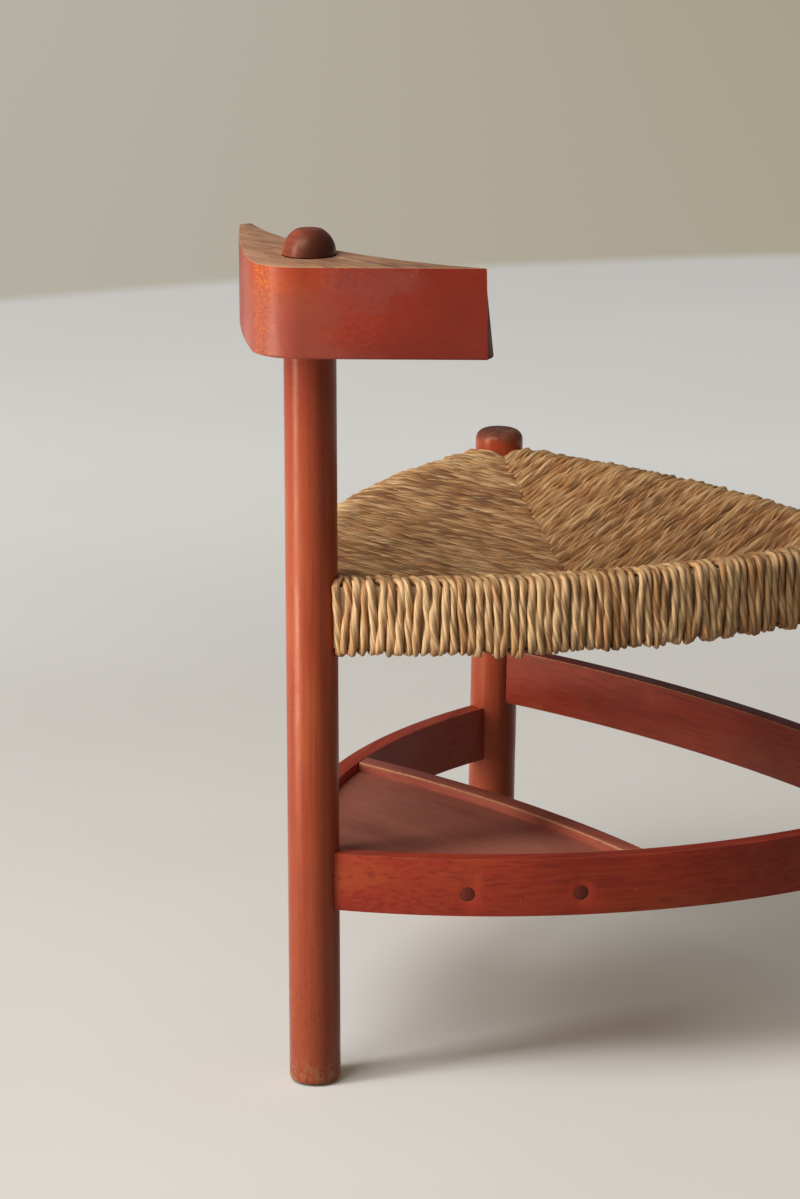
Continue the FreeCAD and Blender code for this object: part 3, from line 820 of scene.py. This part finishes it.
class RushRail:
    """Where the cords of one seat panel run, worked out from the legs and the hidden rail."""

    def __init__(self, node, first_axis, last_axis, meet):
        rush = bpy.context.scene.chair_rush
        low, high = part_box(node)
        board_height = box_size("front_seat_rail").z
        self.half_height = board_height / 2
        rises = node != "front_seat_rail"
        self.last_height = high.z - self.half_height
        self.first_height = low.z + self.half_height if rises else self.last_height
        self.start = first_axis.at(self.last_height) * 1.0
        self.start.z = 0.0
        finish = last_axis.at(self.last_height)
        chord = Vector((finish.x - self.start.x, finish.y - self.start.y, 0))
        self.length = chord.length
        self.along = chord.normalized()
        self.outward = self.along.cross(UP)
        if self.outward.dot(self.start - meet) < 0:
            self.outward = -self.outward
        outs = [(point - self.start).dot(self.outward) for point in node_points(node)]
        middle_outs = [(point - self.start).dot(self.outward) for point in node_points(node)
                       if abs((point - self.start).dot(self.along) - self.length / 2) < 0.02]
        self.half_thickness = (max(middle_outs) - min(middle_outs)) / 2
        self.bow = max(outs) - self.half_thickness
        self.radius = (self.length ** 2 / 4 + self.bow ** 2) / (2 * self.bow)
        self.meet_distance = (meet - self.start).dot(self.along)
        self.meet_depth = -(meet - self.start).dot(self.outward)
        self.rush = rush

    def height(self, distance):
        share = distance / self.length
        return self.first_height + (self.last_height - self.first_height) * share

    def swelling(self, distance):
        from_middle = distance - self.length / 2
        return math.sqrt(self.radius ** 2 - from_middle ** 2) - self.radius + self.bow

    def share(self, distance):
        """Nought where the seams meet and one at the leg."""
        if distance < self.meet_distance:
            return 1 - distance / self.meet_distance
        return (distance - self.meet_distance) / (self.length - self.meet_distance)

    def seam_height(self, distance, side):
        share = self.share(distance)
        eased = share * (1 - self.rush.seam_sag) + share * share * self.rush.seam_sag
        at_end = 0 if distance < self.meet_distance else self.length
        corner = self.height(at_end) + side * (self.half_height + self.rush.cord_diameter)
        lowest = self.rush.dish_top
        if side > 0:
            corner += self.rush.corner_build_up
        else:
            lowest -= self.rush.dish_thickness
        return lowest + (corner - lowest) * eased

    def seam_reach(self, distance):
        return self.meet_depth * (1 - self.share(distance))

    def place(self, distance, out, height):
        return self.start + self.along * distance + self.outward * out + UP * height


class CordPath:
    """The middle line of one cord, as distance along the rail, outward reach and height."""

    def __init__(self, rail, distance, chance):
        self.rail = rail
        self.distance = distance
        self.chance = chance
        self.radius = rail.rush.cord_diameter / 2

    def outline(self):
        """The cord's round trip over the rail, from the upper seam to the lower one."""
        rail = self.rail
        rush = rail.rush
        radius = self.radius
        face = rail.swelling(self.distance) + rail.half_thickness + radius
        back = rail.swelling(self.distance) - rail.half_thickness
        top = rail.height(self.distance) + rail.half_height + radius
        bottom = rail.height(self.distance) - rail.half_height - radius
        seam = -rail.seam_reach(self.distance)
        seam_top = rail.seam_height(self.distance, 1) - radius
        seam_bottom = rail.seam_height(self.distance, -1) + radius
        over = rush.top_round - radius
        under = rush.bottom_round - radius + self.chance.uniform(-0.0005, 0.0015)
        drop = self.chance.uniform(-0.0008, 0.0030) * max(0.0, noise.noise(
            Vector((self.distance * 60, 3.0, 0))) + 0.70)
        bottom -= drop
        tuck = self.chance.uniform(0.0015, 0.0040)
        points = [Vector((seam - 0.002, seam_top - tuck)), Vector((seam + 0.003, seam_top))]
        points.append(Vector((back, top)))
        points += quarter(face - over, top - over, over, math.pi / 2)
        points += quarter(face - under, bottom + under, under, 0.0)
        points.append(Vector((back, bottom)))
        points.append(Vector((seam + 0.003, seam_bottom)))
        points.append(Vector((seam - 0.002, seam_bottom + tuck)))
        return points

    def points(self, step):
        """Evenly spaced points with the cord's own small bends."""
        outline = walked(self.outline(), step)
        lean = self.chance.uniform(-0.0019, 0.0010)
        phase = self.chance.uniform(0, 100)
        face = self.rail.swelling(self.distance)
        route = []
        for index, point in enumerate(outline):
            travel = index * step
            on_face = 1.0 if point.x > face else 0.55
            wobble = noise.noise(Vector((travel * 30, phase, 0.0))) * 0.0026 * on_face
            lift = noise.noise(Vector((travel * 38, phase, 7.0))) * 0.0022 * on_face
            middle = self.rail.height(self.distance)
            sway = lean * (middle - point.y) / self.rail.half_height * on_face
            distance = self.distance + wobble + sway
            distance += self.push(distance, point.x)
            route.append(self.rail.place(distance, point.x + lift * 0.6, point.y + lift))
        return route

    def push(self, distance, out):
        """How far a leg pushes this cord along the rail."""
        clear = LEG_RADIUS + self.radius * 0.9
        if abs(out) >= clear:
            return 0.0
        needed = math.sqrt(clear ** 2 - out ** 2)
        length = self.rail.length
        fade = 0.012
        near_start = max(0.0, needed - self.first_distance()) * math.exp(
            -(distance - self.first_distance()) / fade)
        near_end = max(0.0, needed - self.first_distance()) * math.exp(
            -(length - self.first_distance() - distance) / fade)
        return near_start - near_end

    def first_distance(self):
        return self.rail.rush.leg_reach + self.radius


def quarter(out, height, radius, first_angle, steps=4):
    """Points of a clockwise quarter turn, outward and down."""
    points = []
    for index in range(steps + 1):
        angle = first_angle - index * math.pi / 2 / steps
        points.append(Vector((out + radius * math.cos(angle), height + radius * math.sin(angle))))
    return points


def walked(outline, step):
    """Points at even spacing along an outline."""
    points = [outline[0].copy()]
    left_over = 0.0
    for here, there in zip(outline, outline[1:]):
        length = (there - here).length
        travelled = step - left_over
        while travelled <= length:
            points.append(here.lerp(there, travelled / length))
            travelled += step
        left_over = length - (travelled - step)
    return points


class CHAIR_OT_weave_rush(bpy.types.Operator):
    """Weave the three rush panels cord by cord"""

    bl_idname = "chair.weave_rush"
    bl_label = "Weave Rush"

    lobes = 12

    def execute(self, context):
        rush = context.scene.chair_rush
        rear, left, right = leg_axes()
        meet = self.seams_meet(rear, left, right, rush.weave_drift)
        panels = (
            ("rush_left", "side_seat_rail_left", rear, left),
            ("rush_right", "side_seat_rail_right", rear, right),
            ("rush_front", "front_seat_rail", left, right),
        )
        material = straw_material("rush")
        for index, (node, rail_node, first, last) in enumerate(panels):
            rail = RushRail(rail_node, first, last, meet)
            self.weave_panel(node, rail, material, random.Random(rush.seed + index))
        self.loosen_stuffing(material)
        for node, along in (("side_seat_rail_left", left.at(0) - rear.at(0)),
                            ("side_seat_rail_right", right.at(0) - rear.at(0)),
                            ("front_seat_rail", right.at(0) - left.at(0))):
            beech = bare_beech(f"{node} beech", along.normalized())
            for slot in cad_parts[node].material_slots:
                slot.material = beech
        return {"FINISHED"}

    def seams_meet(self, rear, left, right, drift):
        height = box_middle("front_seat_rail").z
        corners = [axis.at(height) for axis in (rear, left, right)]
        sides = [(corners[1] - corners[2]).length, (corners[2] - corners[0]).length,
                 (corners[0] - corners[1]).length]
        centre = Vector((0, 0, 0))
        for corner, side in zip(corners, sides):
            centre += corner * (side / sum(sides))
        along = (corners[2] - corners[0]).normalized()
        outward = along.cross(UP)
        if outward.dot(corners[0] - centre) < 0:
            outward = -outward
        centre += outward * drift
        centre.z = 0.0
        return centre

    def weave_panel(self, node, rail, material, chance):
        rush = rail.rush
        first = rush.leg_reach + rush.cord_diameter / 2
        spacing = (rail.length - 2 * first) / (rush.cord_count - 1)
        curve = bpy.data.curves.new(node, "CURVE")
        curve.dimensions = "3D"
        curve.bevel_mode = "OBJECT"
        section = self.cord_section(rush.cord_diameter / 2)
        curve.bevel_object = section
        rings = []
        for index in range(rush.cord_count):
            distance = first + spacing * index
            path = CordPath(rail, distance, chance)
            points = path.points(rush.point_spacing)
            rings.append(len(points))
            self.add_cord(curve, points, rush, chance)
        holder = stand(f"{node}_route", curve)
        bpy.context.view_layer.update()
        data = bpy.data.meshes.new_from_object(
            holder.evaluated_get(bpy.context.evaluated_depsgraph_get()))
        bpy.data.objects.remove(holder)
        bpy.data.objects.remove(section)
        self.paint_cords(data, rings, chance)
        self.close_ends(data)
        data.name = f"{node}_cords"
        data.shade_smooth()
        data.materials.clear()
        data.materials.append(material)
        piece = stand(f"{node}_cords", data)
        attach(piece, ROOT)
        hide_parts(node)

    def cord_section(self, radius):
        """The cross-section of a twisted cord: a bulge for each ply and a crease between."""
        curve = bpy.data.curves.new("cord_section", "CURVE")
        spline = curve.splines.new("POLY")
        spline.points.add(self.lobes - 1)
        for index, point in enumerate(spline.points):
            angle = 2 * math.pi * index / self.lobes
            reach = radius * (0.80 + 0.30 * self.bulge(angle))
            point.co = (reach * math.cos(angle), reach * math.sin(angle), 0, 1)
        spline.use_cyclic_u = True
        return stand("cord_section", curve)

    def bulge(self, angle):
        """Nought in a crease between plies and one on the back of a ply."""
        return abs(math.cos(bpy.context.scene.chair_rush.plies * angle / 2))

    def add_cord(self, curve, points, rush, chance):
        spline = curve.splines.new("POLY")
        spline.points.add(len(points) - 1)
        turn = -2 * math.pi / (rush.twist_length * chance.uniform(0.75, 1.35))
        start = chance.uniform(0, 2 * math.pi)
        size = chance.uniform(0.92, 1.14)
        phase = chance.uniform(0, 100)
        for index, (knot, place) in enumerate(zip(spline.points, points)):
            travel = index * rush.point_spacing
            knot.co = (*place, 1)
            knot.tilt = start + turn * travel
            knot.radius = size * (1 + 0.16 * noise.noise(Vector((travel * 45, phase, 0))))

    def paint_cords(self, data, rings, chance):
        """Store for the material where on its cord, on which ply and how deep each point lies; the
        depth is painted as shade in the creases.
        """
        rush = bpy.context.scene.chair_rush
        angles = [2 * math.pi * corner / self.lobes for corner in range(self.lobes)]
        creases = [1 - self.bulge(angle) for angle in angles]
        places = []
        shades = []
        for cord, ring_count in enumerate(rings):
            offset = cord * 3.7
            weathered = 0.5 * noise.noise(Vector((cord * 0.11, rings[0], 2.0)))
            age = chance.uniform(0.1, 0.70) + weathered
            plies = [age + chance.uniform(-0.35, 0.35) for ply in range(rush.plies)]
            for ring in range(ring_count):
                travel = ring * rush.point_spacing
                # Cords over the rail's outer roll are paler, most on its upper side: partly less
                # soiled rush, partly painted light from above.
                from_roll = abs(ring - ring_count / 2 + 3) * rush.point_spacing
                bleached_and_lit = 0.42 * max(0.0, min(1.0, (0.044 - from_roll) / 0.026))
                for corner, angle in enumerate(angles):
                    places += [offset + travel, math.cos(angle), math.sin(angle) + cord]
                    ply = round(corner * rush.plies / self.lobes) % rush.plies
                    drift = noise.noise(Vector((travel * 30, cord * 5.3, ply * 7.1)))
                    shades.append(plies[ply] + 0.5 * drift + bleached_and_lit)
        if len(data.vertices) != len(shades):
            raise RuntimeError("the painted points don't match the cords' points")
        layers = (("fibre", "FLOAT_VECTOR", "vector", places), ("shade", "FLOAT", "value", shades),
                  ("crease", "FLOAT", "value", creases * sum(rings)))
        for name, kind, field, values in layers:
            layer = data.attributes.new(name, kind, "POINT")
            layer.data.foreach_set(field, values)

    def close_ends(self, data):
        mesh = bmesh.new()
        mesh.from_mesh(data)
        open_edges = [edge for edge in mesh.edges if edge.is_boundary]
        bmesh.ops.holes_fill(mesh, edges=open_edges, sides=self.lobes)
        mesh.to_mesh(data)
        mesh.free()

    def loosen_stuffing(self, material):
        """The offcuts inside the seat, rough where a gap between cords shows them."""
        mesh = cad_copy("rush_stuffing")
        bmesh.ops.triangulate(mesh, faces=mesh.faces)
        bmesh.ops.subdivide_edges(mesh, edges=mesh.edges, cuts=3, use_grid_fill=True)
        for vertex in mesh.verts:
            vertex.co.z += 0.0012 * noise.noise(vertex.co * 120)
        fibre = mesh.verts.layers.float_vector.new("fibre")
        shade = mesh.verts.layers.float.new("shade")
        for vertex in mesh.verts:
            vertex[fibre] = vertex.co * 3
            vertex[shade] = 0.1
        add_piece(mesh, "rush_stuffing", "loose", material)


# Studio

class CHAIR_OT_set_studio(bpy.types.Operator):
    """Place the camera, the floor and the light"""

    bl_idname = "chair.set_studio"
    bl_label = "Set Studio"

    def execute(self, context):
        studio = context.scene.chair_studio
        self.add_camera(context.scene, studio)
        self.add_floor(studio)
        self.add_panel("window", studio.window_strength, studio.window_side, 0.0, 8.0, (1.9, 6.0))
        self.add_panel("soft", studio.soft_strength, studio.soft_side, studio.soft_height, 6.0,
                       (4.2, 3.4))
        self.add_reflector(studio, 2.3, (0.5, 2.4))
        self.light_room(context.scene, studio)
        context.scene.view_settings.view_transform = "Standard"
        return {"FINISHED"}

    def add_camera(self, scene, studio):
        data = bpy.data.cameras.new("camera")
        data.sensor_fit = "VERTICAL"
        data.sensor_height = 36.0
        data.lens = studio.lens
        data.clip_end = 100.0
        camera = stand("camera", data)
        level = math.cos(studio.camera_pitch)
        heading = studio.camera_heading
        look = Vector((-math.sin(heading) * level, math.cos(heading) * level,
                       -math.sin(studio.camera_pitch)))
        turn = look.to_track_quat("-Z", "Y").to_matrix().to_4x4()
        roll = Matrix.Rotation(studio.camera_roll, 4, "Z")
        camera.matrix_world = Matrix.Translation(studio.camera_place) @ turn @ roll
        scene.camera = camera

    def add_floor(self, studio):
        mesh = bmesh.new()
        bmesh.ops.create_circle(mesh, cap_ends=True, segments=128, radius=40.0)
        data = bpy.data.meshes.new("floor")
        mesh.to_mesh(data)
        mesh.free()
        data.materials.append(self.floor_material(studio))
        stand("floor", data)

    def camera_right(self, studio):
        heading = studio.camera_heading
        return Vector((math.cos(heading), math.sin(heading), 0))

    def floor_material(self, studio):
        """A pale floor that passes into an evenly lit backdrop far from the chair."""
        shader = Shader("studio floor")
        place = shader.object_place()
        right = self.camera_right(studio)
        distance = shader.vectors("DISTANCE", place, right * studio.floor_shift)
        far = shader.spread(distance, studio.floor_reach * 0.985, studio.floor_reach * 1.015)
        across = shader.spread(shader.vectors("DOT_PRODUCT", place, right), -1.3, 1.3)
        mottle = shader.noise(place, scale=1.3, detail=3.0)
        duller = [0.95 * part for part in studio.floor_colour]
        ground = shader.lay(studio.floor_colour, duller, mottle, 0.3, 0.7)
        beyond = shader.spread(shader.vectors("DISTANCE", place, (0, 0, 0)), 0.9, 2.4)
        seen_glow = shader.mix(beyond, studio.near_floor_glow, studio.far_floor_glow)
        rays = shader.node("ShaderNodeLightPath")
        seen = shader.sum("MAXIMUM", rays.outputs["Is Camera Ray"], rays.outputs["Is Glossy Ray"])
        seen = shader.sum("MAXIMUM", seen, rays.outputs["Is Transmission Ray"])
        bounce = [part * studio.floor_bounce for part in studio.floor_colour]
        shader.finish(Base_Color=shader.mix(seen, bounce, ground), Roughness=0.8,
                      Specular_IOR_Level=0.15, Emission_Color=seen_glow, Emission_Strength=seen)
        wall = shader.mix(across, studio.backdrop_left, studio.backdrop_right)
        glow = shader.node("ShaderNodeEmission", None, Color=wall, Strength=1.0)
        blend = shader.node("ShaderNodeMixShader")
        shader.feed(blend.inputs[0], far)
        shader.feed(blend.inputs[1], shader.surface.outputs["BSDF"])
        shader.feed(blend.inputs[2], glow.outputs["Emission"])
        output = shader.tree.nodes["Material Output"]
        shader.feed(output.inputs["Surface"], blend.outputs["Shader"])
        return shader.material

    def add_lamp(self, name, energy, size, matrix):
        data = bpy.data.lights.new(name, "AREA")
        data.shape = "RECTANGLE"
        data.size, data.size_y = size
        data.energy = energy
        lamp = stand(name, data)
        lamp.matrix_world = matrix
        lamp.visible_camera = False
        return data

    def level_ray(self, side):
        """The level direction from the chair to a lamp that stands this far to the left."""
        right = self.camera_right(bpy.context.scene.chair_studio)
        return right.cross(UP) * math.cos(side) - right * math.sin(side)

    def add_panel(self, name, strength, side, height, distance, size):
        """A rectangular lamp that faces the chair; one at no height stands on the floor."""
        ray = self.level_ray(side) * math.cos(height) + UP * math.sin(height)
        lift = 0.0 if height else size[1] / 2
        turn = (-ray).to_track_quat("-Z", "Y").to_matrix().to_4x4()
        lamp = self.add_lamp(name, strength * (math.pi * distance) ** 2, size,
                             Matrix.Translation(ray * distance + UP * lift) @ turn)
        lamp.color = (1.0, 0.975, 0.94)

    def add_reflector(self, studio, distance, size):
        """A bright strip flat on the floor under the window, which draws the long highlights."""
        ray = self.level_ray(studio.window_side)
        turn = Matrix((ray.cross(UP), -ray, -UP)).transposed().to_4x4()
        energy = studio.reflector_strength * math.pi * size[0] * size[1]
        self.add_lamp("reflector", energy, size,
                      Matrix.Translation(ray * distance + UP * 0.01) @ turn)

    def light_room(self, scene, studio):
        world = bpy.data.worlds.new("room")
        world.use_nodes = True
        background = world.node_tree.nodes["Background"]
        background.inputs["Color"].default_value = (1.0, 0.985, 0.96, 1.0)
        background.inputs["Strength"].default_value = studio.sky_strength
        scene.world = world


class CHAIR_PT_finish(bpy.types.Panel):
    """The steps that dress the chair"""

    bl_idname = "CHAIR_PT_finish"
    bl_label = "Corner Chair"
    bl_space_type = "VIEW_3D"
    bl_region_type = "UI"
    bl_category = "Chair"

    def draw(self, context):
        layout = self.layout
        for settings in (context.scene.chair_wood, context.scene.chair_rush,
                         context.scene.chair_studio):
            column = layout.column(align=True)
            for name in settings.__annotations__:
                column.prop(settings, name)
        for operator in OPERATORS:
            layout.operator(operator.bl_idname)


SETTINGS = {
    "chair_wood": WoodSettings,
    "chair_rush": RushSettings,
    "chair_studio": StudioSettings,
}
OPERATORS = (
    CHAIR_OT_finish_legs,
    CHAIR_OT_finish_knob,
    CHAIR_OT_finish_backrest,
    CHAIR_OT_finish_stretchers,
    CHAIR_OT_finish_shelf,
    CHAIR_OT_weave_rush,
    CHAIR_OT_set_studio,
)


def register():
    for group in (*SETTINGS.values(), *OPERATORS, CHAIR_PT_finish):
        bpy.utils.register_class(group)
    for name, group in SETTINGS.items():
        setattr(bpy.types.Scene, name, PointerProperty(type=group))


def unregister():
    for name in SETTINGS:
        delattr(bpy.types.Scene, name)
    for group in (CHAIR_PT_finish, *reversed(OPERATORS), *SETTINGS.values()):
        bpy.utils.unregister_class(group)


def main():
    register()
    bpy.ops.chair.finish_legs()
    bpy.ops.chair.finish_knob()
    bpy.ops.chair.finish_backrest()
    bpy.ops.chair.finish_stretchers()
    bpy.ops.chair.finish_shelf()
    bpy.ops.chair.weave_rush()
    bpy.ops.chair.set_studio()


if __name__ == "__main__":
    main()
